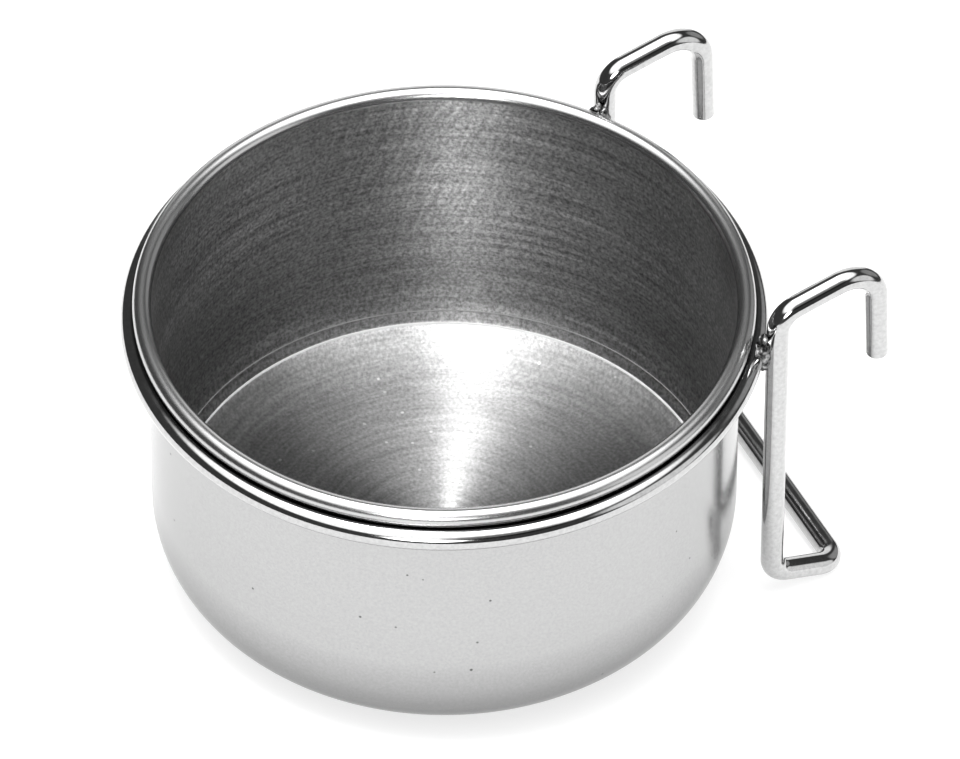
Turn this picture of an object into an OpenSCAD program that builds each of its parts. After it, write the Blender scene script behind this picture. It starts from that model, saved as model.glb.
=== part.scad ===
// Hook-on cage bowl: a drawn steel cup that hangs by its curled rim in a welded wire holder.
// Millimetres, +Z up. The origin is the centre of the cup's flat base, and the hooks are on the +Y side.

/* [Cup] */
// Outer diameter of the straight cup wall
cup_wall_d = 118.8; // [100:0.2:140]
// Height of the cup from its base to the top of the rim
cup_h = 69; // [60:0.5:100]
// Thickness of the drawn sheet
sheet_t = 0.7; // [0.5:0.05:1]
// Outer radius of the corner between the base and the wall
base_corner_r = 16; // [8:0.5:32]
// Outside diameter of the curled rim
rim_curl_d = 3.8; // [3.2:0.1:5]
// Angle that the sheet turns through in the rim curl
rim_curl_turn = 290; // [240:5:300]

/* [Wire ring] */
// Diameter of the ring wire and the hanger wire
wire_d = 4.6; // [3.6:0.1:6]
// Radial room between the cup wall and the ring
ring_room = 1; // [0.4:0.1:1.5]
// Gap between the curled rim and the ring that carries it
seat_gap = 0.2; // [0.1:0.05:0.4]

/* [Welds] */
// Gap between the ring and a leg, which the weld fills
weld_gap = 0.1; // [0.05:0.05:0.3]
// Diameter of a weld spot
weld_d = 9.6; // [7:0.2:12]
// Thickness of a weld spot at its middle, before the wires bed into it
weld_thick = 5.2; // [4:0.2:6.4]

/* [Hooks] */
// Distance between the centres of the two legs
leg_spacing = 77.4; // [50:0.2:100]
// Height of a leg's upper corner above the rim
hook_rise = 4.7; // [2:0.1:20]
// Length of a hook's top bar, corner to corner
hook_reach = 22.4; // [18:0.2:40]
// Upward tilt of the top bar
hook_tilt = 14.1; // [0:0.05:25]
// Length of a hook's drop, from the corner to the tip
hook_drop = 25.4; // [15:0.2:45]
// Outward lean of the drop
drop_lean = 2.2; // [0:0.05:8]
// Bend radius between a leg and its top bar, at the wire's centre
shoulder_bend_r = 5.5; // [4:0.1:7]
// Bend radius between a top bar and its drop, at the wire's centre
hook_bend_r = 7; // [4:0.1:9]
// Chamfer on a hook's cut tip
tip_chamfer = 0.6; // [0.2:0.1:1.2]

/* [Foot] */
// Height of the crossbar's underside above the cup's base, below zero where it hangs lower
crossbar_lift = -5; // [-15:0.5:20]
// Length of the jog between a leg and the crossbar, corner to corner
foot_reach = 15.5; // [11:0.1:30]
// Downward tilt of the jog
foot_tilt = 14.25; // [0:0.05:25]
// Bend radius between a leg and its jog, at the wire's centre
foot_bend_r = 4.5; // [3:0.1:6]
// Bend radius between a jog and the crossbar, at the wire's centre
crossbar_bend_r = 4; // [3:0.1:6]

/* [Hidden] */
// Facets of a previewed circle, and of the hanger's round wire with its many bends
$fn = 96;
hanger_fn = 40;

// Cup: radii and heights in its half section
wall_r = cup_wall_d / 2;
flat_r = wall_r - base_corner_r;
curl_r = rim_curl_d / 2;
curl_axis_r = wall_r - sheet_t + curl_r;
curl_z = cup_h - curl_r;

// Ring: outside the wall by its room, and just under the curl
wire_r = wire_d / 2;
ring_axis_r = wall_r + ring_room + wire_r;
seat_span = curl_r + wire_r + seat_gap;
ring_z = curl_z - sqrt(pow(seat_span, 2) - pow(ring_axis_r - curl_axis_r, 2));

// Hanger: the legs stand against the outside of the ring
leg_axis_r = ring_axis_r + wire_d + weld_gap;
leg_x = leg_spacing / 2;
leg_y = sqrt(pow(leg_axis_r, 2) - pow(leg_x, 2));
leg_angle = atan2(leg_y, leg_x);
crossbar_y = leg_y + foot_reach * cos(foot_tilt);
crossbar_z = crossbar_lift + wire_r;
ankle_z = crossbar_z + foot_reach * sin(foot_tilt);
shoulder_z = cup_h + hook_rise;

// Angles that the wire turns through at its corners
crossbar_turn = 90;
ankle_turn = 90 - foot_tilt;
shoulder_turn = 90 - hook_tilt;
hook_turn = 90 + hook_tilt - drop_lean;

// Length that a bend takes from each of the straights that meet at its corner
function bend_run(r, turn) = r * tan(turn / 2);
crossbar_run = bend_run(crossbar_bend_r, crossbar_turn);
ankle_run = bend_run(foot_bend_r, ankle_turn);
shoulder_run = bend_run(shoulder_bend_r, shoulder_turn);
hook_run = bend_run(hook_bend_r, hook_turn);

// Bending list for half of the hanger, from the middle of the crossbar to the hook tip:
// straight length, then the bend's radius, its turn and the roll of the wire before it
half_hanger = [
    [leg_x - crossbar_run, crossbar_bend_r, crossbar_turn, 0],
    [foot_reach - crossbar_run - ankle_run, foot_bend_r, ankle_turn, -90],
    [shoulder_z - ankle_z - ankle_run - shoulder_run, shoulder_bend_r, shoulder_turn, 0],
    [hook_reach - shoulder_run - hook_run, hook_bend_r, hook_turn, 0],
    [hook_drop - hook_run - tip_chamfer, 0, 0, 0]
];

// Moves what follows to the far end of a bend that turns from +Z towards +X
module after_bend(r, turn) {
    translate([r, 0, 0])
        rotate([0, turn, 0])
            translate([-r, 0, 0])
                children();
}

// One bend of the wire: a full turn, kept between its start and its end
module wire_bend(r, turn) {
    reach = 2 * (r + wire_d);
    intersection() {
        translate([r, 0, 0])
            rotate([90, 90, 0])
                rotate_extrude()
                    translate([r, 0])
                        circle(r = wire_r);
        translate([-reach, -reach, 0])
            cube(2 * reach);
        after_bend(r, turn)
            translate([-reach, -reach, -2 * reach])
                cube(2 * reach);
    }
}

// A wire bent by a bending list, from step i on. It starts along +Z and ends in a chamfered cut.
module bent_wire(list, i = 0) {
    length = list[i][0];
    r = list[i][1];
    turn = list[i][2];
    cylinder(r = wire_r, h = length);
    translate([0, 0, length])
        if (i == len(list) - 1)
            cylinder(r1 = wire_r, r2 = wire_r - tip_chamfer, h = tip_chamfer);
        else
            rotate(list[i][3]) {
                wire_bend(r, turn);
                after_bend(r, turn)
                    bent_wire(list, i + 1);
            }
}

// Half of the hanger in its place, on the +X side
module hanger_half() {
    translate([0, crossbar_y, crossbar_z])
        rotate([-90 - foot_tilt, 0, 0])
            rotate([0, 90, 0])
                bent_wire(half_hanger, $fn = hanger_fn);
}

// Half section of the sheet where it curls outwards into the hollow rim, from the inside of the wall
module curl_section() {
    reach = 2 * rim_curl_d;
    open_from = 180 - rim_curl_turn;
    open_mid = (open_from - 180) / 2;
    translate([curl_axis_r, curl_z])
        difference() {
            circle(r = curl_r);
            circle(r = curl_r - sheet_t);
            polygon([
                [0, 0],
                [-reach, 0],
                reach * [cos(open_mid), sin(open_mid)],
                reach * [cos(open_from), sin(open_from)]
            ]);
        }
}

// Half section of the sheet in the corner between the base and the wall
module corner_section() {
    translate([flat_r, base_corner_r])
        intersection() {
            difference() {
                circle(r = base_corner_r);
                circle(r = base_corner_r - sheet_t);
            }
            translate([0, -base_corner_r])
                square(base_corner_r);
        }
}

// The ring's round wire, all the way round
module ring_wire() {
    translate([0, 0, ring_z])
        rotate_extrude()
            translate([ring_axis_r, 0])
                circle(r = wire_r);
}

// A lens of weld metal where the right leg crosses the ring, with both wires bedded in it
module weld_spot() {
    lens_half = weld_thick / 2;
    lens_r = (pow(weld_d / 2, 2) + pow(lens_half, 2)) / weld_thick;
    crossing_r = ring_axis_r + wire_r + weld_gap / 2;
    difference() {
        rotate(leg_angle)
            translate([crossing_r, 0, ring_z])
                rotate([0, 90, 0])
                    rotate_extrude()
                        intersection() {
                            translate([0, lens_r - lens_half])
                                circle(r = lens_r);
                            translate([0, lens_half - lens_r])
                                circle(r = lens_r);
                            translate([0, -lens_half])
                                square([weld_d, weld_thick]);
                        }
        ring_wire();
        translate([leg_x, leg_y, ankle_z])
            cylinder(r = wire_r, h = shoulder_z - ankle_z);
    }
}

module cup() {
    color("#c8c8c8")
        rotate_extrude() {
            square([flat_r, sheet_t]);
            corner_section();
            translate([wall_r - sheet_t, base_corner_r])
                square([sheet_t, curl_z - base_corner_r]);
            curl_section();
        }
}

module support_ring() {
    color("#dcdcdc")
        ring_wire();
}

module hanger_wire() {
    color("#d4d4d4")
        union() {
            hanger_half();
            mirror([1, 0, 0])
                hanger_half();
        }
}

module right_weld() {
    color("#77736e")
        weld_spot();
}

module left_weld() {
    color("#77736e")
        mirror([1, 0, 0])
            weld_spot();
}

cup();
support_ring();
hanger_wire();
left_weld();
right_weld();
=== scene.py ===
"""Hook-on cage bowl: a drawn steel cup in a welded wire holder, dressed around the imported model."""
import math

import bmesh
import bpy
from bpy.props import FloatProperty, FloatVectorProperty, IntProperty, PointerProperty
from mathutils import Matrix, Vector, noise


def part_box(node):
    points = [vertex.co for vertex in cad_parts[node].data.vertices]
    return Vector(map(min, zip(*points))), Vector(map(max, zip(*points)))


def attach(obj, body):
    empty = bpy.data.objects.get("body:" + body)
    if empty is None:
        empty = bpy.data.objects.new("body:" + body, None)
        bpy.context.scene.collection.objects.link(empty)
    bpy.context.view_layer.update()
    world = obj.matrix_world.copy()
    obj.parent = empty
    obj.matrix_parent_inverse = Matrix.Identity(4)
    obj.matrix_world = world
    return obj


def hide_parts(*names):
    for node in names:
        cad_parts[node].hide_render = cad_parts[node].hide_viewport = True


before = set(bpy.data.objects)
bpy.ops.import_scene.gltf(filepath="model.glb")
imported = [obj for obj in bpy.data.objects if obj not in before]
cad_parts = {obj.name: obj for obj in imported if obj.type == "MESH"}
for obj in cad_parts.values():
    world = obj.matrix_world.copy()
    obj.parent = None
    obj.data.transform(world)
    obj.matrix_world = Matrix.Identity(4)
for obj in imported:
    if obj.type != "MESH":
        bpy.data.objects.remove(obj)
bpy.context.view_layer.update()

bl_info = {
    "name": "Cage Bowl",
    "version": (1, 0, 0),
    "blender": (4, 5, 0),
    "location": "View3D > Sidebar > Cage Bowl",
    "description": "Builds a hook-on steel cage bowl and its studio around the packed model",
    "category": "Object",
}

MM = 0.001
SAME_POINT = 1e-7  # metres; points that are closer than this are one point
UV_NAME = "turned"
UV_LENGTH = 0.1  # metres along the cup's outline for one unit of V
NOISE = (0.3, 0.7)  # most values of a noise pattern lie between these
NOISE_RANGE = {"From Min": NOISE[0], "From Max": NOISE[1]}
NOISE_MIDDLE = 0.5
BRUSHED_ROUND = {"Anisotropic Rotation": 0.25}  # lines that run along U, which goes round the cup
SHEET_GRAIN = 0.7 * MM  # the sheet's grain is finer than a pixel, so it is drawn this wide
CREVICE_FACING = (0.78, 0.95)  # cosines between which a bead comes to face its neighbour
# Painted shade darkens a bead where it faces its neighbour in the crevice.
CREVICE_SHADE = 0.2  # light that is left in a crevice
SENSOR_MM = 36
CLIP_END = 20  # metres that the camera sees


def frame_mm(metres):
    """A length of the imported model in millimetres, to a tenth."""
    return round(float(metres) / MM, 1)


CUP_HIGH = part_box("cup")[1]
RING_LOW, RING_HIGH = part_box("support_ring")
HANGER_LOW, HANGER_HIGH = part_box("hanger_wire")
WIRE_D = frame_mm(RING_HIGH[2] - RING_LOW[2])
RING_R = frame_mm(RING_HIGH[0]) - WIRE_D / 2
RING_Z = frame_mm(RING_HIGH[2]) - WIRE_D / 2
LEG_X = frame_mm(HANGER_HIGH[0]) - WIRE_D / 2
CROSSBAR_Z = frame_mm(HANGER_LOW[2]) + WIRE_D / 2


def linear(hex_colour):
    """An sRGB hex colour as linear red, green and blue."""
    values = [int(hex_colour[i : i + 2], 16) / 255 for i in (1, 3, 5)]
    return tuple(v / 12.92 if v <= 0.04045 else ((v + 0.055) / 1.055) ** 2.4 for v in values)


def length(name, description, millimetres):
    """A length in metres that a user can change."""
    return FloatProperty(
        name=name, description=description, default=millimetres * MM, unit="LENGTH", precision=5
    )


def angle(name, description, degrees):
    """An angle that a user can change."""
    return FloatProperty(
        name=name, description=description, default=math.radians(degrees), subtype="ANGLE"
    )


def level(name, description, value):
    """A plain number that a user can change."""
    return FloatProperty(name=name, description=description, default=value)


def count(name, description, value):
    """A whole number that a user can change."""
    return IntProperty(name=name, description=description, default=value, min=3)


def colour(name, description, hex_colour):
    """A colour that a user can change."""
    return FloatVectorProperty(
        name=name, description=description, default=linear(hex_colour),
        subtype="COLOR", min=0, max=1,
    )


class CupSizes(bpy.types.PropertyGroup):
    """Sizes of the drawn cup."""

    wall_d: length("Wall diameter", "Outer diameter of the straight wall", 118.8)
    height: length("Height", "From the base to the top of the rim", frame_mm(CUP_HIGH[2]))
    sheet: length("Sheet", "Thickness of the drawn sheet", 0.7)
    corner_r: length("Corner radius", "Outer radius between base and wall", 16)
    curl_d: length("Curl diameter", "Outside diameter of the curled rim", 3.8)
    curl_turn: angle("Curl turn", "Angle that the sheet turns through in the curl", 290)
    crease_tilt: angle("Crease tilt", "Slope of the corner where the floor's brushing ends", 53)
    crease_w: length("Crease width", "Width of the fine ridge that the brushing leaves", 0.7)
    crease_h: length("Crease height", "Height of that ridge", 0.05)
    echo_tilt: angle("Second crease tilt", "Slope of the corner at the fainter second crease", 63)
    echo_share: level("Second crease share", "Size of the second crease beside the first", 0.5)
    # Painted highlight: the floor's pale edge stands in for the crescent of light along the corner.
    crescent_w: length("Rubbed width", "Width of the floor's edge that is rubbed paler", 18)
    crescent_share: level("Rubbed", "Brightness of the floor's rubbed edge", 2.9)
    crescent_turn: angle("Rubbed turn", "Place round the cup that is rubbed most", 134)
    crescent_least: level("Rubbed least", "Share of the rubbing on the other sides", 0.6)
    scuff_turn: angle("Scuff turn", "Place of the wiping scratches round the cup", 154)
    scuff_z: length("Scuff height", "Height of the wiping scratches", 54)
    scuff_lean: angle("Scuff lean", "Lean of the wiping scratches from upright", -22)
    steps_round: count("Steps round", "Segments of the turned skin", 256)


class WireSizes(bpy.types.PropertyGroup):
    """Sizes of the wire holder."""

    wire_d: length("Wire", "Diameter of the ring wire and the hanger wire", WIRE_D)
    ring_r: length("Ring radius", "Radius of the ring at the wire's centre", RING_R)
    ring_z: length("Ring height", "Height of the ring above the base", RING_Z)
    leg_x: length("Leg offset", "From the middle to a leg", LEG_X)
    leg_y: length("Leg reach", "From the cup's axis to the plane of the legs", 55.182)
    shoulder_z: length("Shoulder height", "Height of a leg's upper corner", 73.7)
    crossbar_z: length("Crossbar height", "Height of the crossbar's centre", CROSSBAR_Z)
    hook_reach: length("Hook reach", "Length of a hook's top bar", 22.4)
    hook_tilt: angle("Hook tilt", "Upward tilt of the top bar", 14.1)
    hook_drop: length("Hook drop", "Length of a hook's drop", 25.4)
    drop_lean: angle("Drop lean", "Outward lean of the drop", 2.2)
    foot_reach: length("Foot reach", "Length of the jog to the crossbar", 15.5)
    foot_tilt: angle("Foot tilt", "Downward tilt of the jog", 14.25)
    hook_bend_r: length("Hook bend", "Bend radius between top bar and drop", 7)
    shoulder_bend_r: length("Shoulder bend", "Bend radius between leg and top bar", 5.5)
    foot_bend_r: length("Foot bend", "Bend radius between leg and jog", 4.5)
    crossbar_bend_r: length("Crossbar bend", "Bend radius between jog and crossbar", 4)
    tip_round: length("Tip rounding", "Rounding of the cut ends", 0.6)
    weld_w: length("Weld width", "Width of a weld along the ring", 5)
    weld_h: length("Weld height", "Height of a weld along the leg", 9)
    weld_t: length("Weld thickness", "Thickness of a weld between the wires", 4)
    sides: count("Wire sides", "Segments round the wire", 48)
    bend_steps: count("Bend steps", "Segments of each bend", 24)
    ring_steps: count("Ring steps", "Segments of the ring", 240)
    tip_steps: count("Tip steps", "Segments of a tip's rounding", 7)


class FinishColours(bpy.types.PropertyGroup):
    """Colours of the steel and of the studio floor."""

    sheet: colour("Sheet", "Drawn stainless sheet, outside", "#b4b4b4")
    # The floor and inside wall are set darker than the outside as painted shade for the inside of the
    # bowl.
    floor: colour("Floor", "Drawn stainless sheet, brushed floor", "#909090")
    wall: colour("Inside wall", "Drawn stainless sheet, inside wall", "#a8a8a8")
    # The two crease colours are painted highlights: pale lines for light caught along the corner.
    line: colour("Crease", "Rubbed line at the end of the brushing", "#f4f4f4")
    faint: colour("Second crease", "Fainter rubbed line above the first", "#c4c4c4")
    wire: colour("Wire", "Bright stainless wire", "#c0c0c0")
    weld: colour("Weld", "Weld metal", "#7a7a7a")
    acrylic: colour("Acrylic", "Floor of the studio", "#a0a0a0")


class StudioSettings(bpy.types.PropertyGroup):
    """Camera and light. Lights turn from the camera to its right, and lean from straight up."""

    view_turn: angle("View turn", "Camera's turn about the cup", 64.09)
    view_rise: angle("View rise", "Camera's rise above the rim", 44.33)
    view_pitch: angle("View pitch", "Camera's downward pitch", 44.70)
    view_yaw: angle("View yaw", "Camera's turn away from the cup's axis", 0.24)
    view_roll: angle("View roll", "Camera's roll", 0.17)
    distance: length("Distance", "From the middle of the rim to the camera", 2402.19)
    aim_z: length("Aim height", "Height of the rim's middle", 67.1)
    lens: level("Lens", "Focal length on a 36 mm sensor", 450)
    gamma: level("Gamma", "Gamma of the finished picture", 0.85)
    plain: level("Plain backdrop", "Brightness of the backdrop that the camera itself sees", 1.2)
    blur: angle("Blur", "Softness of the edges of all the lights in the sky", 5)
    dome: level("Dome", "Brightness of the overhead light", 2)
    dome_turn: angle("Dome turn", "Turn of the overhead light's lean", -15)
    dome_lean: angle("Dome lean", "Lean of the overhead light", 11)
    dome_spread: angle("Dome spread", "From the middle of the overhead light to its edge", 44)
    low_sky: level("Low sky", "Share of the overhead light that is left near the horizon", 0.05)
    card_dim: level("Card", "Share of the light that the dark card leaves", 0.2)
    card_turn: angle("Card turn", "Turn of the dark card", 22)
    card_lean: angle("Card lean", "Lean of the dark card's middle", 50)
    card_spread: angle("Card spread", "From the middle of the dark card to its edge", 16)
    side: level("Side light", "Brightness of the light at the right", 1.1)
    side_turn: angle("Side turn", "Turn of the side light", 72)
    side_lean: angle("Side lean", "Lean of the side light's middle", 76)
    side_spread: angle("Side spread", "From the middle of the side light to its edge", 22)
    front: level("Front light", "Brightness of the low light by the camera", 12)
    front_turn: angle("Front turn", "Turn of the front light", -6)
    front_lean: angle("Front lean", "Lean of the front light's middle", 68)
    front_spread: angle("Front spread", "From the middle of the front light to its edge", 9)
    back: level("Backdrop", "Brightness of the backdrop that the bowl reflects", 1.2)
    back_turn: angle("Backdrop turn", "Turn of the backdrop", 180)
    back_lean: angle("Backdrop lean", "Lean of the backdrop's middle", 80)
    back_spread: angle("Backdrop spread", "From the middle of the backdrop to its edge", 22)
    wing: level("Wing", "Brightness of the backdrop's wing at the right", 0.4)
    wing_turn: angle("Wing turn", "Turn of the wing", 125)
    wing_lean: angle("Wing lean", "Lean of the wing's middle", 74)
    wing_spread: angle("Wing spread", "From the middle of the wing to its edge", 20)
    strip: level("Strip", "Brightness of the strip light", 24)
    strip_w: length("Strip width", "Width of the strip light", 230)
    strip_l: length("Strip length", "Length of the strip light", 900)
    strip_h: length("Strip height", "Height of the strip light", 1550)
    strip_x: length("Strip offset", "From the cup's axis to the camera's right", -135)
    strip_y: length("Strip depth", "From the cup's axis away from the camera", 20)
    box: level("Softbox", "Brightness of the overhead softbox", 3)
    box_w: length("Softbox width", "Width of the overhead softbox", 1300)
    box_h: length("Softbox height", "Height of the overhead softbox", 1705)
    glow: level("Floor glow", "Brightness of the lit acrylic floor by itself", 0.73)
    floor_half: length("Floor half width", "From the middle of the studio floor to its edge", 450)
    floor_gap: length("Floor gap", "Gap between the bowl and the studio floor", 0.2)


def settings():
    """The bowl's settings on the current scene."""
    return bpy.context.scene.cage_bowl


def add(tree, kind, links=(), values=(), **props):
    """One node with its properties, its input values and the wires that come into it."""
    node = tree.nodes.new(kind)
    for name, value in props.items():
        setattr(node, name, value)
    for name, value in dict(values).items():
        node.inputs[name].default_value = value
    for name, source in dict(links).items():
        tree.links.new(source, node.inputs[name])
    return node


def surface(name, colour_value, **sockets):
    """A new material, its tree and its shader: a bare metal unless the sockets say otherwise."""
    material = bpy.data.materials.new(name)
    material.use_nodes = True
    tree = material.node_tree
    tree.nodes.clear()
    values = {"Base Color": (*colour_value, 1), "Metallic": 1, **sockets}
    shader = add(tree, "ShaderNodeBsdfPrincipled", values=values)
    add(tree, "ShaderNodeOutputMaterial", {"Surface": shader.outputs["BSDF"]})
    return material, tree, shader


def turned_grain(tree, run_mm, width_mm):
    """Coordinates of grain that runs round the cup: run_mm long and width_mm wide."""
    place = add(tree, "ShaderNodeTexCoord")
    flat = add(
        tree, "ShaderNodeVectorMath", {0: place.outputs["Object"]},
        {1: (1 / (run_mm * MM), 1 / (run_mm * MM), 0)}, operation="MULTIPLY",
    )
    turned = add(tree, "ShaderNodeUVMap", uv_map=UV_NAME)
    across = add(
        tree, "ShaderNodeVectorMath", {0: turned.outputs["UV"]},
        {1: (0, UV_LENGTH / (width_mm * MM), 0)}, operation="MULTIPLY",
    )
    parts = add(tree, "ShaderNodeSeparateXYZ", {"Vector": across.outputs["Vector"]})
    upright = add(tree, "ShaderNodeCombineXYZ", {"Z": parts.outputs["Y"]})
    joined = add(
        tree, "ShaderNodeVectorMath",
        {0: flat.outputs["Vector"], 1: upright.outputs["Vector"]}, operation="ADD",
    )
    return joined.outputs["Vector"]


def shaded(tree, shader, colour_value, *shares):
    """Sets a metal's colour. A share is a pattern, its range, and the light kept at each end."""
    kept = None
    for pattern, start, end, low, high in shares:
        share = add(
            tree, "ShaderNodeMapRange", {"Value": pattern},
            {"From Min": start, "From Max": end, "To Min": low, "To Max": high},
        ).outputs["Result"]
        if kept:
            joined = add(tree, "ShaderNodeMath", {0: kept, 1: share}, operation="MULTIPLY")
            share = joined.outputs["Value"]
        kept = share
    spread = add(
        tree, "ShaderNodeVectorMath", {"Scale": kept}, {0: colour_value}, operation="SCALE"
    )
    tree.links.new(spread.outputs["Vector"], shader.inputs["Base Color"])


def crevice_shade(tree, bead, neighbour, radius):
    """A mask for painted shade: 1 where a round bead faces its neighbour and 0 elsewhere.

    The bead's middle and its neighbour's are points of the half section: radius and height.
    """
    towards = (Vector(neighbour) - Vector(bead)).normalized() / radius
    place = add(tree, "ShaderNodeTexCoord")
    flat = add(
        tree, "ShaderNodeVectorMath", {0: place.outputs["Object"]}, {1: (1, 1, 0)},
        operation="MULTIPLY",
    )
    out = add(tree, "ShaderNodeVectorMath", {0: flat.outputs["Vector"]}, operation="LENGTH")
    parts = add(tree, "ShaderNodeSeparateXYZ", {"Vector": place.outputs["Object"]})
    section = add(
        tree, "ShaderNodeCombineXYZ", {"X": out.outputs["Value"], "Z": parts.outputs["Z"]}
    )
    from_middle = add(
        tree, "ShaderNodeVectorMath", {0: section.outputs["Vector"]}, {1: (bead[0], 0, bead[1])},
        operation="SUBTRACT",
    )
    facing = add(
        tree, "ShaderNodeVectorMath", {0: from_middle.outputs["Vector"]},
        {1: (towards[0], 0, towards[1])}, operation="DOT_PRODUCT",
    )
    start, end = CREVICE_FACING
    mask = add(
        tree, "ShaderNodeMapRange", {"Value": facing.outputs["Value"]},
        {"From Min": start, "From Max": end, "To Min": 0, "To Max": 1},
        interpolation_type="SMOOTHSTEP",
    )
    return mask.outputs["Result"]


def painted_crescent_highlight(tree, s):
    """Painted highlight at the floor's edge: 1 on the bright side, less elsewhere, 0 inside it."""
    turned = add(tree, "ShaderNodeUVMap", uv_map=UV_NAME)
    parts = add(tree, "ShaderNodeSeparateXYZ", {"Vector": turned.outputs["UV"]})
    edge = corner_run(s, s.crease_tilt)
    band = add(
        tree, "ShaderNodeMapRange", {"Value": parts.outputs["Y"]},
        {
            "From Min": (edge - s.crescent_w) / UV_LENGTH, "From Max": edge / UV_LENGTH,
            "To Min": 0, "To Max": 1,
        },
    )
    fading = add(tree, "ShaderNodeMath", {0: band.outputs["Result"]}, {1: 2}, operation="POWER")
    place = add(tree, "ShaderNodeTexCoord")
    towards = add(
        tree, "ShaderNodeVectorMath", {0: place.outputs["Object"]},
        {1: (math.cos(s.crescent_turn), math.sin(s.crescent_turn), 0)}, operation="DOT_PRODUCT",
    )
    # From the axis to the bright side, the painted highlight begins and is full at these distances.
    begins, full = 0.2 * s.wall_d, 0.36 * s.wall_d
    highlit_side = add(
        tree, "ShaderNodeMapRange", {"Value": towards.outputs["Value"]},
        {"From Min": begins, "From Max": full, "To Min": s.crescent_least, "To Max": 1},
        interpolation_type="SMOOTHSTEP",
    )
    rubbed = add(
        tree, "ShaderNodeMath", {0: fading.outputs["Value"], 1: highlit_side.outputs["Result"]},
        operation="MULTIPLY",
    )
    return rubbed.outputs["Value"]


def brushed_floor(s):
    """Stainless sheet, brushed on a lathe: fine rings that throw light into a wedge."""
    material, tree, shader = surface(
        "stainless_circular_brushed", settings().finish.floor, Anisotropic=1, **BRUSHED_ROUND
    )
    tangent = add(tree, "ShaderNodeTangent", direction_type="UV_MAP", uv_map=UV_NAME)
    tree.links.new(tangent.outputs["Tangent"], shader.inputs["Tangent"])
    # Grit rings and chatter marks are finer than a pixel, so they are drawn 0.8 and 1.6 mm wide.
    rings = add(
        tree, "ShaderNodeTexNoise", {"Vector": turned_grain(tree, run_mm=50, width_mm=0.8)},
        {"Scale": 1, "Detail": 4, "Roughness": 0.6},
    )
    chatter = add(
        tree, "ShaderNodeTexNoise", {"Vector": turned_grain(tree, run_mm=9, width_mm=1.6)},
        {"Scale": 1, "Detail": 2, "Roughness": 0.5},
    )
    place = add(tree, "ShaderNodeTexCoord")
    grain = add(
        tree, "ShaderNodeTexNoise", {"Vector": place.outputs["Object"]},
        {"Scale": 1 / SHEET_GRAIN, "Detail": 2, "Roughness": 0.6},
    )
    # Bright specks lie about 5 mm apart, and are drawn about 0.7 mm wide.
    specks = add(
        tree, "ShaderNodeTexVoronoi", {"Vector": place.outputs["Object"]}, {"Scale": 1 / (5 * MM)}
    )
    shaded(
        tree, shader, settings().finish.floor,
        (grain.outputs["Fac"], *NOISE, 0.78, 1.22),
        (rings.outputs["Fac"], *NOISE, 0.84, 1.16),
        (chatter.outputs["Fac"], *NOISE, 0.9, 1.1),
        # A painted highlight brightens the floor's edge.
        (painted_crescent_highlight(tree, s), 0, 1, 1, s.crescent_share),
        (specks.outputs["Distance"], 0.05, 0.09, 1.7, 1),
    )
    rough = add(
        tree, "ShaderNodeMapRange", {"Value": rings.outputs["Fac"]},
        {**NOISE_RANGE, "To Min": 0.47, "To Max": 0.55},
    )
    tree.links.new(rough.outputs["Result"], shader.inputs["Roughness"])
    wavy = add(
        tree, "ShaderNodeBump", {"Height": chatter.outputs["Fac"]},
        {"Strength": 1, "Distance": 0.02 * MM},
    )
    bump = add(
        tree, "ShaderNodeBump", {"Height": rings.outputs["Fac"], "Normal": wavy.outputs["Normal"]},
        {"Strength": 0.6, "Distance": 0.012 * MM},
    )
    tree.links.new(bump.outputs["Normal"], shader.inputs["Normal"])
    return material


def wiping_scratches(tree, s):
    """A pattern of fine slanting scratches at one place on the wall, and even everywhere else."""
    radius = s.wall_d / 2 - s.sheet
    turned = add(tree, "ShaderNodeUVMap", uv_map=UV_NAME)
    flat = add(
        tree, "ShaderNodeVectorMath", {0: turned.outputs["UV"]},
        {1: (2 * math.pi * radius, UV_LENGTH, 0)}, operation="MULTIPLY",
    )
    leaning = add(
        tree, "ShaderNodeMapping", {"Vector": flat.outputs["Vector"]},
        {"Rotation": (0, 0, s.scuff_lean)},
    )
    # Wiping scratches are finer than a pixel, so they are drawn 1.1 mm apart and 8 mm long.
    fine = add(
        tree, "ShaderNodeVectorMath", {0: leaning.outputs["Vector"]},
        {1: (1 / (1.1 * MM), 1 / (8 * MM), 0)}, operation="MULTIPLY",
    )
    scratches = add(
        tree, "ShaderNodeTexNoise", {"Vector": fine.outputs["Vector"]},
        {"Scale": 1, "Detail": 2, "Roughness": 0.5},
    )
    place = add(tree, "ShaderNodeTexCoord")
    middle = (radius * math.cos(s.scuff_turn), radius * math.sin(s.scuff_turn), s.scuff_z)
    away = add(
        tree, "ShaderNodeVectorMath", {0: place.outputs["Object"]}, {1: middle},
        operation="DISTANCE",
    )
    # From the middle of the wiped place, scratches begin to fade and are gone at these distances.
    fades, gone = 14 * MM, 36 * MM
    wiped = add(
        tree, "ShaderNodeMapRange", {"Value": away.outputs["Value"]},
        {"From Min": fades, "From Max": gone, "To Min": 1, "To Max": 0},
        interpolation_type="SMOOTHSTEP",
    )
    kept = add(
        tree, "ShaderNodeMix",
        {"Factor": wiped.outputs["Result"], "B": scratches.outputs["Fac"]}, {"A": NOISE_MIDDLE},
    )
    return kept.outputs["Result"]


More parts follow.
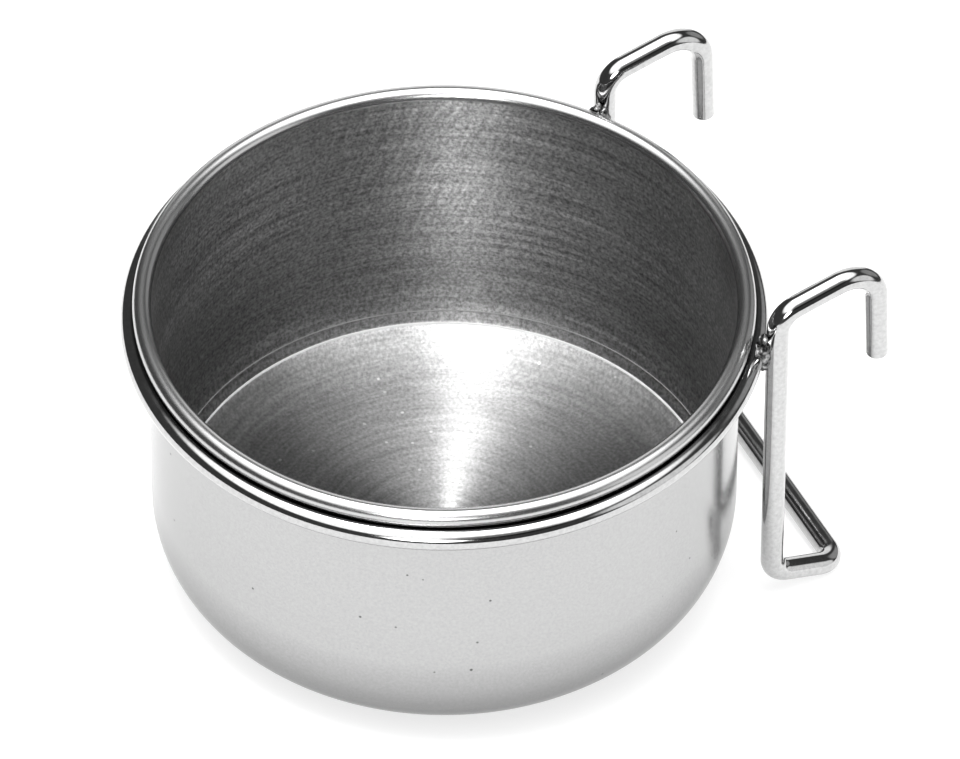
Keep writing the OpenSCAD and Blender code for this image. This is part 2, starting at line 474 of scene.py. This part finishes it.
def drawn_wall(s):
    """Stainless sheet as drawn and wiped: grainy lines round it, which smear light up and down."""
    material, tree, shader = surface(
        "stainless_drawn_inside", settings().finish.wall, Anisotropic=0.88, **BRUSHED_ROUND
    )
    tangent = add(tree, "ShaderNodeTangent", direction_type="UV_MAP", uv_map=UV_NAME)
    tree.links.new(tangent.outputs["Tangent"], shader.inputs["Tangent"])
    # Drawing lines are finer than a pixel, so they are drawn 0.9 mm wide.
    lines = add(
        tree, "ShaderNodeTexNoise", {"Vector": turned_grain(tree, run_mm=30, width_mm=0.9)},
        {"Scale": 1, "Detail": 3, "Roughness": 0.6},
    )
    place = add(tree, "ShaderNodeTexCoord")
    grain = add(
        tree, "ShaderNodeTexNoise", {"Vector": place.outputs["Object"]},
        {"Scale": 1 / SHEET_GRAIN, "Detail": 2, "Roughness": 0.6},
    )
    parts = add(tree, "ShaderNodeSeparateXYZ", {"Vector": place.outputs["Object"]})
    # Painted shade: the wall is darker towards its foot, from inside the corner up to about the
    # middle of the cup.
    foot, middle = 0.6 * s.corner_r, 2.3 * s.corner_r
    shaded(
        tree, shader, settings().finish.wall,
        (parts.outputs["Z"], foot, middle, 0.72, 1),
        (grain.outputs["Fac"], *NOISE, 0.62, 1.38),
        (lines.outputs["Fac"], *NOISE, 0.8, 1.2),
        (wiping_scratches(tree, s), *NOISE, 0.8, 1.2),
    )
    rough = add(
        tree, "ShaderNodeMapRange", {"Value": lines.outputs["Fac"]},
        {**NOISE_RANGE, "To Min": 0.4, "To Max": 0.48},
    )
    tree.links.new(rough.outputs["Result"], shader.inputs["Roughness"])
    bump = add(
        tree, "ShaderNodeBump", {"Height": lines.outputs["Fac"]},
        {"Strength": 0.5, "Distance": 0.03 * MM},
    )
    tree.links.new(bump.outputs["Normal"], shader.inputs["Normal"])
    return material


def pale_crease_highlight(name, colour_value):
    """A fine pale line without gloss where the brushing ends, its colour a painted highlight."""
    material, tree, shader = surface(name, colour_value)
    rubbing = add(
        tree, "ShaderNodeTexNoise", {"Vector": turned_grain(tree, run_mm=6, width_mm=1)},
        {"Scale": 1, "Detail": 2, "Roughness": 0.5},
    )
    rough = add(
        tree, "ShaderNodeMapRange", {"Value": rubbing.outputs["Fac"]},
        {**NOISE_RANGE, "To Min": 0.7, "To Max": 0.95},
    )
    tree.links.new(rough.outputs["Result"], shader.inputs["Roughness"])
    return material


def bright_rim(curl, ring, curl_radius):
    """Stainless sheet, rolled and buffed: a soft wavy gloss, shade painted where it faces the ring.
    """
    steel = settings().finish.wire
    material, tree, shader = surface("stainless_buffed_rim", steel, Roughness=0.26)
    shaded_seat = crevice_shade(tree, curl, ring, curl_radius)
    shaded(tree, shader, steel, (shaded_seat, 0, 1, 1, CREVICE_SHADE))
    place = add(tree, "ShaderNodeTexCoord")
    waves = add(
        tree, "ShaderNodeTexNoise", {"Vector": place.outputs["Object"]},
        {"Scale": 1 / (9 * MM), "Detail": 2, "Roughness": 0.5},
    )
    bump = add(
        tree, "ShaderNodeBump", {"Height": waves.outputs["Fac"]},
        {"Strength": 0.4, "Distance": 0.05 * MM},
    )
    tree.links.new(bump.outputs["Normal"], shader.inputs["Normal"])
    return material


def satin_outside():
    """Satin stainless outside: pale, with fine grain, a few dark pits, and painted shade near the
    base.
    """
    # A gloss that is greyer at a glancing angle keeps the cup's outline clear of a pale backdrop.
    material, tree, shader = surface(
        "stainless_satin_outside", settings().finish.sheet,
        **{"Specular Tint": (0.88, 0.88, 0.88, 1)},
    )
    place = add(tree, "ShaderNodeTexCoord")
    grain = add(
        tree, "ShaderNodeTexNoise", {"Vector": place.outputs["Object"]},
        {"Scale": 1 / (0.6 * MM), "Detail": 3, "Roughness": 0.6},
    )
    rough = add(
        tree, "ShaderNodeMapRange", {"Value": grain.outputs["Fac"]},
        {**NOISE_RANGE, "To Min": 0.12, "To Max": 0.22},
    )
    tree.links.new(rough.outputs["Result"], shader.inputs["Roughness"])
    pits = add(
        tree, "ShaderNodeTexVoronoi", {"Vector": place.outputs["Object"]}, {"Scale": 1 / (6 * MM)}
    )
    clusters = add(
        tree, "ShaderNodeTexNoise", {"Vector": place.outputs["Object"]},
        {"Scale": 1 / (30 * MM), "Detail": 1, "Roughness": 0.5},
    )
    # A pit is smaller than a pixel, so it is drawn about 0.5 mm wide.
    pit = add(
        tree, "ShaderNodeMath",
        {0: pits.outputs["Distance"], 1: clusters.outputs["Fac"]}, operation="DIVIDE",
    )
    parts = add(tree, "ShaderNodeSeparateXYZ", {"Vector": place.outputs["Object"]})
    # Painted shade: the corner is darker towards the base, and darkest near its bottom edge.
    low_shade, edge = (2 * MM, 24 * MM), (4.5 * MM, 7 * MM)
    shaded(
        tree, shader, settings().finish.sheet,
        (grain.outputs["Fac"], *NOISE, 0.95, 1.05),
        (pit.outputs["Value"], 0.06, 0.1, 0.3, 1),
        (parts.outputs["Z"], *low_shade, 0.5, 1),
        (parts.outputs["Z"], *edge, 0.25, 1),
    )
    bump = add(
        tree, "ShaderNodeBump", {"Height": grain.outputs["Fac"]},
        {"Strength": 0.2, "Distance": 0.02 * MM},
    )
    tree.links.new(bump.outputs["Normal"], shader.inputs["Normal"])
    return material


def bright_wire(name, shaded_seat=None):
    """Stainless wire, drawn and polished: a clean mirror, dulled in patches by handling."""
    material, tree, shader = surface(name, settings().finish.wire)
    place = add(tree, "ShaderNodeTexCoord")
    handling = add(
        tree, "ShaderNodeTexNoise", {"Vector": place.outputs["Object"]},
        {"Scale": 1 / (3 * MM), "Detail": 4, "Roughness": 0.6},
    )
    rough = add(
        tree, "ShaderNodeMapRange", {"Value": handling.outputs["Fac"]},
        {**NOISE_RANGE, "To Min": 0.06, "To Max": 0.14},
    )
    tree.links.new(rough.outputs["Result"], shader.inputs["Roughness"])
    marks = add(
        tree, "ShaderNodeTexNoise", {"Vector": place.outputs["Object"]},
        {"Scale": 1 / (0.8 * MM), "Detail": 3, "Roughness": 0.6},
    )
    shares = [(marks.outputs["Fac"], *NOISE, 0.9, 1.06)]
    # Painted shade darkens the ring where it faces the rolled rim.
    if shaded_seat:
        shares.append((crevice_shade(tree, *shaded_seat), 0, 1, 1, CREVICE_SHADE))
    shaded(tree, shader, settings().finish.wire, *shares)
    return material


def weld_metal():
    """Weld metal, as left by the torch: dark scale with bright specks of bare metal."""
    material, tree, shader = surface("weld_metal_as_welded", settings().finish.weld)
    place = add(tree, "ShaderNodeTexCoord")
    scale = add(
        tree, "ShaderNodeTexNoise", {"Vector": place.outputs["Object"]},
        {"Scale": 1 / (1.2 * MM), "Detail": 5, "Roughness": 0.65},
    )
    rough = add(
        tree, "ShaderNodeMapRange", {"Value": scale.outputs["Fac"]},
        {**NOISE_RANGE, "To Min": 0.2, "To Max": 0.5},
    )
    tree.links.new(rough.outputs["Result"], shader.inputs["Roughness"])
    shaded(tree, shader, settings().finish.weld, (scale.outputs["Fac"], 0.42, 0.66, 0.15, 2.6))
    bump = add(
        tree, "ShaderNodeBump", {"Height": scale.outputs["Fac"]},
        {"Strength": 0.8, "Distance": 0.3 * MM},
    )
    tree.links.new(bump.outputs["Normal"], shader.inputs["Normal"])
    return material


def lit_acrylic():
    """Opal acrylic, lit from below: plain, pale and without gloss, with little shadow."""
    material, _, _ = surface(
        "opal_acrylic", settings().finish.acrylic, Metallic=0, Roughness=0.9,
        **{"Emission Color": (1, 1, 1, 1), "Emission Strength": settings().studio.glow},
    )
    return material


def arc(centre, radius, start, end, steps):
    """Points on an arc in the outline's plane; angles are in degrees."""
    angles = [math.radians(start + (end - start) * i / steps) for i in range(steps + 1)]
    return [
        (centre[0] + radius * math.cos(a), centre[1] + radius * math.sin(a)) for a in angles
    ]


def straight(start, end, steps):
    """Points on a straight stretch of the outline."""
    return [
        tuple(a + (b - a) * i / steps for a, b in zip(start, end)) for i in range(steps + 1)
    ]


def corner_run(s, tilt):
    """Length along the inside from the middle of the floor to a slope of the corner."""
    return s.wall_d / 2 - s.corner_r + (s.corner_r - s.sheet) * tilt


def curl_middle(s):
    """Middle of the rim curl in the cup's half section."""
    return (s.wall_d / 2 - s.sheet + s.curl_d / 2, s.height - s.curl_d / 2)


def creased_corner(s, middle, radius):
    """The inside corner as runs of points: brushed up to the first crease and drawn above it."""
    runs, start, finish = [], -90, "floor"
    for tilt, share, ridge in ((s.crease_tilt, 1, "crease"), (s.echo_tilt, s.echo_share, "faint")):
        slope = math.degrees(tilt) - 90
        half = math.degrees(s.crease_w * share / radius) / 2
        top = radius - s.crease_h * share
        runs.append((finish, arc(middle, radius, start, slope - half, steps=30)))
        runs.append((ridge, arc(middle, top, slope - half / 2, slope + half / 2, steps=2)))
        start, finish = slope + half, "wall"
    return runs + [(finish, arc(middle, radius, start, 0, steps=12))]


def cup_outline(s):
    """The cup's half section as runs of points, each with the name of its finish."""
    wall = s.wall_d / 2
    inner = wall - s.sheet
    flat = wall - s.corner_r
    curl = s.curl_d / 2
    curl_centre = curl_middle(s)
    corner = (flat, s.corner_r)
    corner_in = s.corner_r - s.sheet
    curl_end = 180 - math.degrees(s.curl_turn)
    return [
        ("floor", straight((0, s.sheet), (flat, s.sheet), steps=28)),
        *creased_corner(s, corner, corner_in),
        ("wall", straight((inner, s.corner_r), (inner, curl_centre[1]), steps=24)),
        ("rim", arc(curl_centre, curl, 180, curl_end, steps=56)),
        ("rim", arc(curl_centre, curl - s.sheet, curl_end, 180, steps=28)),
        ("outside", straight((wall, curl_centre[1]), (wall, s.corner_r), steps=24)),
        ("outside", arc(corner, s.corner_r, 0, -90, steps=40)),
        ("outside", straight((flat, 0), (0, 0), steps=12)),
    ]


def turned_mesh(name, runs, finishes, steps):
    """A closed skin turned about Z, with U round it and V along its outline."""
    points, tags = [], []
    for finish, run in runs:
        for point in run:
            if not points or math.dist(point, points[-1]) > SAME_POINT:
                points.append(point)
                tags.append(finish)
    along = [0.0]
    for a, b in zip(points, points[1:]):
        along.append(along[-1] + math.dist(a, b))
    shape = bmesh.new()
    uv = shape.loops.layers.uv.new(UV_NAME)
    rings = []
    for r, z in points:
        if r < SAME_POINT:
            rings.append([shape.verts.new((0, 0, z))] * (steps + 1))
            continue
        ring = [
            shape.verts.new((r * math.cos(t), r * math.sin(t), z))
            for t in (2 * math.pi * i / steps for i in range(steps))
        ]
        rings.append(ring + ring[:1])
    order = list(finishes)
    for k in range(len(points) - 1):
        for i in range(steps):
            # On the axis two corners of a face are one point, so the face is a triangle.
            kept = []
            for row, column in ((k, i), (k, i + 1), (k + 1, i + 1), (k + 1, i)):
                if all(rings[row][column] is not rings[a][b] for a, b in kept):
                    kept.append((row, column))
            face = shape.faces.new([rings[a][b] for a, b in kept])
            face.smooth = True
            face.material_index = order.index(tags[k + 1])
            for loop, (a, b) in zip(face.loops, kept):
                loop[uv].uv = (b / steps, along[a] / UV_LENGTH)
    bmesh.ops.recalc_face_normals(shape, faces=shape.faces)
    mesh = bpy.data.meshes.new(name)
    shape.to_mesh(mesh)
    shape.free()
    for finish in order:
        mesh.materials.append(finishes[finish])
    return mesh


def placed(name, data):
    """A new object at the origin, for a finished mesh, a light or a camera."""
    thing = bpy.data.objects.new(name, data)
    bpy.context.scene.collection.objects.link(thing)
    return thing


def wire_tree():
    """Geometry Nodes: a round wire along a path of corners, each bent to its own radius."""
    tree = bpy.data.node_groups.new("round_wire_along_path", "GeometryNodeTree")
    for name, kind in (
        ("Path", "Geometry"),
        ("Wire radius", "Float"),
        ("Sides", "Int"),
        ("Bend steps", "Int"),
        ("Finish", "Material"),
    ):
        tree.interface.new_socket(name, in_out="INPUT", socket_type="NodeSocket" + kind)
    tree.interface.new_socket("Wire", in_out="OUTPUT", socket_type="NodeSocketGeometry")
    given = add(tree, "NodeGroupInput").outputs
    path = add(tree, "GeometryNodeMeshToCurve", {"Mesh": given["Path"]})
    bend = add(
        tree, "GeometryNodeInputNamedAttribute", values={"Name": "bend_radius"}, data_type="FLOAT"
    )
    bent = add(
        tree, "GeometryNodeFilletCurve",
        {"Curve": path.outputs["Curve"], "Count": given["Bend steps"], "Radius": bend.outputs[0]},
        mode="POLY",
    )
    section = add(
        tree, "GeometryNodeCurvePrimitiveCircle",
        {"Resolution": given["Sides"], "Radius": given["Wire radius"]},
    )
    share = add(
        tree, "GeometryNodeInputNamedAttribute", values={"Name": "wire_scale"}, data_type="FLOAT"
    )
    skin = add(
        tree, "GeometryNodeCurveToMesh",
        {
            "Curve": bent.outputs["Curve"],
            "Profile Curve": section.outputs["Curve"],
            "Scale": share.outputs[0],
        },
        {"Fill Caps": True},
    )
    smooth = add(tree, "GeometryNodeSetShadeSmooth", {"Geometry": skin.outputs["Mesh"]})
    real = add(tree, "GeometryNodeRealizeInstances", {"Geometry": smooth.outputs["Geometry"]})
    dressed = add(
        tree, "GeometryNodeSetMaterial",
        {"Geometry": real.outputs["Geometry"], "Material": given["Finish"]},
    )
    add(tree, "NodeGroupOutput", {"Wire": dressed.outputs["Geometry"]})
    return tree


def path_mesh(name, points, closed=False):
    """A bare path: each point has its place, its bend radius and the share of the wire's width."""
    mesh = bpy.data.meshes.new(name)
    total = len(points)
    edges = [(i, (i + 1) % total) for i in range(total if closed else total - 1)]
    mesh.from_pydata([p for p, _, _ in points], edges, [])
    for label, column in (("bend_radius", 1), ("wire_scale", 2)):
        store = mesh.attributes.new(label, "FLOAT", "POINT")
        store.data.foreach_set("value", [p[column] for p in points])
    return mesh


def grown(name, tree, source_mesh, inputs):
    """Runs a tree on a mesh and returns the result as a plain mesh."""
    source = placed(name + "_path", source_mesh)
    modifier = source.modifiers.new(tree.name, "NODES")
    modifier.node_group = tree
    for socket in tree.interface.items_tree:
        if socket.in_out == "INPUT" and socket.name in inputs:
            modifier[socket.identifier] = inputs[socket.name]
    depsgraph = bpy.context.evaluated_depsgraph_get()
    mesh = bpy.data.meshes.new_from_object(source.evaluated_get(depsgraph), depsgraph=depsgraph)
    mesh.name = name
    bpy.data.objects.remove(source)
    bpy.data.meshes.remove(source_mesh)
    shape = bmesh.new()
    shape.from_mesh(mesh)
    bmesh.ops.remove_doubles(shape, verts=shape.verts, dist=SAME_POINT)
    bmesh.ops.recalc_face_normals(shape, faces=shape.faces)
    shape.to_mesh(mesh)
    shape.free()
    return mesh


def ring_corners(s):
    """Points of the ring, close enough together that it needs no bends."""
    turns = [2 * math.pi * i / s.ring_steps for i in range(s.ring_steps)]
    return [
        (Vector((s.ring_r * math.cos(t), s.ring_r * math.sin(t), s.ring_z)), 0.0, 1.0)
        for t in turns
    ]


def half_hanger(s):
    """Corners of the right half of the hanger, from the hook tip to the crossbar."""
    top = Vector((0, math.cos(s.hook_tilt), math.sin(s.hook_tilt)))
    down = Vector((0, math.sin(s.drop_lean), -math.cos(s.drop_lean)))
    jog = Vector((0, math.cos(s.foot_tilt), -math.sin(s.foot_tilt)))
    shoulder = Vector((s.leg_x, s.leg_y, s.shoulder_z))
    hook = shoulder + top * s.hook_reach
    ankle = Vector((s.leg_x, s.leg_y, s.crossbar_z + s.foot_reach * math.sin(s.foot_tilt)))
    tip = hook + down * s.hook_drop
    radius = s.wire_d / 2
    end = []
    for i in range(s.tip_steps, -1, -1):
        turn = math.pi / 2 * i / s.tip_steps
        back = s.tip_round * (1 - math.sin(turn))
        share = (radius - s.tip_round + s.tip_round * math.cos(turn)) / radius
        end.append((tip - down * back, 0.0, share))
    return end + [
        (hook, s.hook_bend_r, 1.0),
        (shoulder, s.shoulder_bend_r, 1.0),
        (ankle, s.foot_bend_r, 1.0),
        (ankle + jog * s.foot_reach, s.crossbar_bend_r, 1.0),
    ]


def weld_blob(name, s, side, finish):
    """A lumpy weld between ring and leg, on one side of the holder."""
    leg = Vector((side * s.leg_x, s.leg_y, 0))
    outwards = leg.normalized()
    middle = outwards * (s.ring_r + s.wire_d / 2) + Vector((0, 0, s.ring_z))
    across = Vector((0, 0, 1)).cross(outwards)
    # Lumps for each half width of the weld, their height as a share of it, and a place in the
    # noise for each side. Finer lumps follow in layers, each 2.1 times as close.
    lumps, lump_h, seed = 1.7, 0.16, Vector((side * 3, 5, 1))
    fall, closer, layers = 0.9, 2.1, 4
    shape = bmesh.new()
    bmesh.ops.create_icosphere(shape, subdivisions=5, radius=1)
    for vert in shape.verts:
        d = vert.co.normalized()
        d = d * (1 + lump_h * noise.fractal(d * lumps + seed, fall, closer, layers))
        vert.co = (
            middle
            + outwards * (d.x * s.weld_t / 2)
            + across * (d.y * s.weld_w / 2)
            + Vector((0, 0, d.z * s.weld_h / 2))
        )
    for face in shape.faces:
        face.smooth = True
    bmesh.ops.recalc_face_normals(shape, faces=shape.faces)
    mesh = bpy.data.meshes.new(name)
    shape.to_mesh(mesh)
    shape.free()
    mesh.materials.append(finish)
    return mesh


def leaning_floor(s, cup, wire):
    """The studio floor. It leans, as the bowl stands on its base's edge and on the crossbar."""
    edge_y = cup.corner_r - cup.wall_d / 2
    crossbar_y = wire.leg_y + wire.foot_reach * math.cos(wire.foot_tilt)
    slope = HANGER_LOW[2] / (crossbar_y - edge_y)
    corners = [
        (x * s.floor_half, y * s.floor_half, slope * (y * s.floor_half - edge_y) - s.floor_gap)
        for x, y in ((-1, -1), (1, -1), (1, 1), (-1, 1))
    ]
    mesh = bpy.data.meshes.new("studio_floor")
    mesh.from_pydata(corners, [], [(0, 1, 2, 3)])
    mesh.materials.append(lit_acrylic())
    return mesh


def sky_patch(tree, s, turn, lean, spread, inside, outside=0):
    """Brightness of a round soft-edged patch of sky, and of the sky round it."""
    place = add(tree, "ShaderNodeTexCoord")
    middle = Matrix.Rotation(s.view_turn + turn, 3, "Z") @ Matrix.Rotation(lean, 3, "X")
    facing = add(
        tree, "ShaderNodeVectorMath", {0: place.outputs["Generated"]},
        {1: middle @ Vector((0, 0, 1))}, operation="DOT_PRODUCT",
    )
    edge = {"From Min": math.cos(spread + s.blur), "From Max": math.cos(spread - s.blur)}
    patch = add(
        tree, "ShaderNodeMapRange", {"Value": facing.outputs["Value"]},
        {**edge, "To Min": outside, "To Max": inside}, interpolation_type="SMOOTHSTEP",
    )
    return patch.outputs["Result"]


def soft_sky(s):
    """The light all round: a dome with four low lights, dimmed in one place by a dark card."""
    world = bpy.data.worlds.new("soft_dome")
    world.use_nodes = True
    tree = world.node_tree
    tree.nodes.clear()
    sky = sky_patch(tree, s, s.dome_turn, s.dome_lean, s.dome_spread, s.dome, s.dome * s.low_sky)
    for turn, lean, spread, brightness in (
        (s.side_turn, s.side_lean, s.side_spread, s.side),
        (s.front_turn, s.front_lean, s.front_spread, s.front),
        (s.back_turn, s.back_lean, s.back_spread, s.back),
        (s.wing_turn, s.wing_lean, s.wing_spread, s.wing),
    ):
        patch = sky_patch(tree, s, turn, lean, spread, brightness)
        sky = add(tree, "ShaderNodeMath", {0: sky, 1: patch}, operation="ADD").outputs["Value"]
    card = sky_patch(tree, s, s.card_turn, s.card_lean, s.card_spread, s.card_dim, outside=1)
    dimmed = add(tree, "ShaderNodeMath", {0: sky, 1: card}, operation="MULTIPLY")
    # The camera itself sees a plain pale backdrop.
    path = add(tree, "ShaderNodeLightPath")
    strength = add(
        tree, "ShaderNodeMix",
        {"Factor": path.outputs["Is Camera Ray"], "A": dimmed.outputs["Value"]}, {"B": s.plain},
    )
    light = add(
        tree, "ShaderNodeBackground", {"Strength": strength.outputs["Result"]},
        {"Color": (1, 1, 1, 1)},
    )
    add(tree, "ShaderNodeOutputWorld", {"Surface": light.outputs["Background"]})
    return world


def hang_lights(s):
    """Hangs the strip light, which draws the wedge on the cup's floor, and the wide softbox."""
    for name, brightness, width, depth, spot in (
        ("strip_light", s.strip, s.strip_w, s.strip_l, (s.strip_x, s.strip_y, s.strip_h)),
        ("softbox", s.box, s.box_w, s.box_w, (0, 0, s.box_h)),
    ):
        lamp = bpy.data.lights.new(name, "AREA")
        lamp.shape = "RECTANGLE"
        lamp.size = width
        lamp.size_y = depth
        lamp.energy = brightness * math.pi * width * depth
        hung = placed(name, lamp)
        hung.matrix_world = Matrix.Rotation(s.view_turn, 4, "Z") @ Matrix.Translation(spot)


def aimed_camera(s):
    """A camera with a long lens, where the photograph was taken from."""
    camera = bpy.data.cameras.new("studio_camera")
    camera.sensor_fit = "HORIZONTAL"
    camera.sensor_width = SENSOR_MM
    camera.lens = s.lens
    camera.clip_end = CLIP_END
    stand = Vector((
        0, -s.distance * math.cos(s.view_rise), s.aim_z + s.distance * math.sin(s.view_rise)
    ))
    look = (
        Matrix.Rotation(-s.view_yaw, 4, "Z")
        @ Matrix.Rotation(math.pi / 2 - s.view_pitch, 4, "X")
        @ Matrix.Rotation(s.view_roll, 4, "Z")
    )
    aimed = placed("studio_camera", camera)
    aimed.matrix_world = Matrix.Rotation(s.view_turn, 4, "Z") @ Matrix.Translation(stand) @ look
    return aimed


class CAGEBOWL_OT_cup(bpy.types.Operator):
    """Turn the drawn cup with its curled rim"""

    bl_idname = "cage_bowl.cup"
    bl_label = "Cup"

    def execute(self, context):
        bowl = settings()
        s, wire = bowl.cup, bowl.wire
        finishes = {
            "floor": brushed_floor(s),
            # The crease lines are painted highlights.
            "crease": pale_crease_highlight("stainless_crease_painted_highlight", bowl.finish.line),
            "faint": pale_crease_highlight("stainless_faint_painted_highlight", bowl.finish.faint),
            "wall": drawn_wall(s),
            "rim": bright_rim(curl_middle(s), (wire.ring_r, wire.ring_z), s.curl_d / 2),
            "outside": satin_outside(),
        }
        mesh = turned_mesh("drawn_cup", cup_outline(s), finishes, s.steps_round)
        piece = placed("drawn_cup", mesh)
        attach(piece, "cup")
        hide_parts("cup")
        return {"FINISHED"}


class CAGEBOWL_OT_holder(bpy.types.Operator):
    """Bend the ring and the hanger from round wire"""

    bl_idname = "cage_bowl.holder"
    bl_label = "Wire holder"

    def execute(self, context):
        s = settings().wire
        tree = wire_tree()
        inputs = {"Wire radius": s.wire_d / 2, "Sides": s.sides, "Bend steps": s.bend_steps}
        # Where the ring faces the rim's curl, painted shade darkens it.
        shaded_seat = ((s.ring_r, s.ring_z), curl_middle(settings().cup), s.wire_d / 2)
        right = half_hanger(s)
        flip = Matrix.Scale(-1, 3, (1, 0, 0))
        left = [(flip @ p, r, share) for p, r, share in reversed(right)]
        for name, node, path, finish in (
            (
                "round_wire_ring", "support_ring",
                path_mesh("ring_path", ring_corners(s), closed=True),
                bright_wire("stainless_ring_wire", shaded_seat),
            ),
            (
                "bent_wire_hanger", "hanger_wire",
                path_mesh("hanger_path", right + left),
                bright_wire("stainless_bright_wire"),
            ),
        ):
            piece = placed(name, grown(name, tree, path, {**inputs, "Finish": finish}))
            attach(piece, "holder")
            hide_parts(node)
        return {"FINISHED"}


class CAGEBOWL_OT_welds(bpy.types.Operator):
    """Lay the two welds that join the legs to the ring"""

    bl_idname = "cage_bowl.welds"
    bl_label = "Welds"

    def execute(self, context):
        finish = weld_metal()
        for name, node, side in (
            ("lumpy_weld_right", "right_weld", 1), ("lumpy_weld_left", "left_weld", -1),
        ):
            piece = placed(name, weld_blob(name, settings().wire, side, finish))
            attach(piece, "holder")
            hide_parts(node)
        return {"FINISHED"}


class CAGEBOWL_OT_studio(bpy.types.Operator):
    """Set the pale floor, the soft light and the camera"""

    bl_idname = "cage_bowl.studio"
    bl_label = "Studio"

    def execute(self, context):
        bowl = settings()
        s = bowl.studio
        placed("studio_floor", leaning_floor(s, bowl.cup, bowl.wire))
        context.scene.world = soft_sky(s)
        hang_lights(s)
        context.scene.camera = aimed_camera(s)
        context.scene.view_settings.view_transform = "Standard"
        context.scene.view_settings.gamma = s.gamma
        return {"FINISHED"}


class BowlSettings(bpy.types.PropertyGroup):
    """Everything that a user would change on the bowl."""

    cup: PointerProperty(type=CupSizes)
    wire: PointerProperty(type=WireSizes)
    finish: PointerProperty(type=FinishColours)
    studio: PointerProperty(type=StudioSettings)


OPERATORS = (CAGEBOWL_OT_cup, CAGEBOWL_OT_holder, CAGEBOWL_OT_welds, CAGEBOWL_OT_studio)


class CAGEBOWL_PT_panel(bpy.types.Panel):
    """The bowl's pieces and sizes."""

    bl_label = "Cage Bowl"
    bl_space_type = "VIEW_3D"
    bl_region_type = "UI"
    bl_category = "Cage Bowl"

    def draw(self, context):
        for operator in OPERATORS:
            self.layout.operator(operator.bl_idname)
        for group in BowlSettings.__annotations__:
            box = self.layout.box()
            box.label(text=group.title())
            values = getattr(context.scene.cage_bowl, group)
            for name in values.__annotations__:
                box.prop(values, name)


CLASSES = (
    CupSizes, WireSizes, FinishColours, StudioSettings, BowlSettings, *OPERATORS, CAGEBOWL_PT_panel
)


def register():
    """Adds the bowl's classes and its settings to Blender."""
    for cls in CLASSES:
        bpy.utils.register_class(cls)
    bpy.types.Scene.cage_bowl = PointerProperty(type=BowlSettings)


def unregister():
    """Takes them away again."""
    del bpy.types.Scene.cage_bowl
    for cls in reversed(CLASSES):
        bpy.utils.unregister_class(cls)


def main():
    """Builds every piece and the studio."""
    register()
    bpy.ops.cage_bowl.cup()
    bpy.ops.cage_bowl.holder()
    bpy.ops.cage_bowl.welds()
    bpy.ops.cage_bowl.studio()


if __name__ == "__main__":
    main()
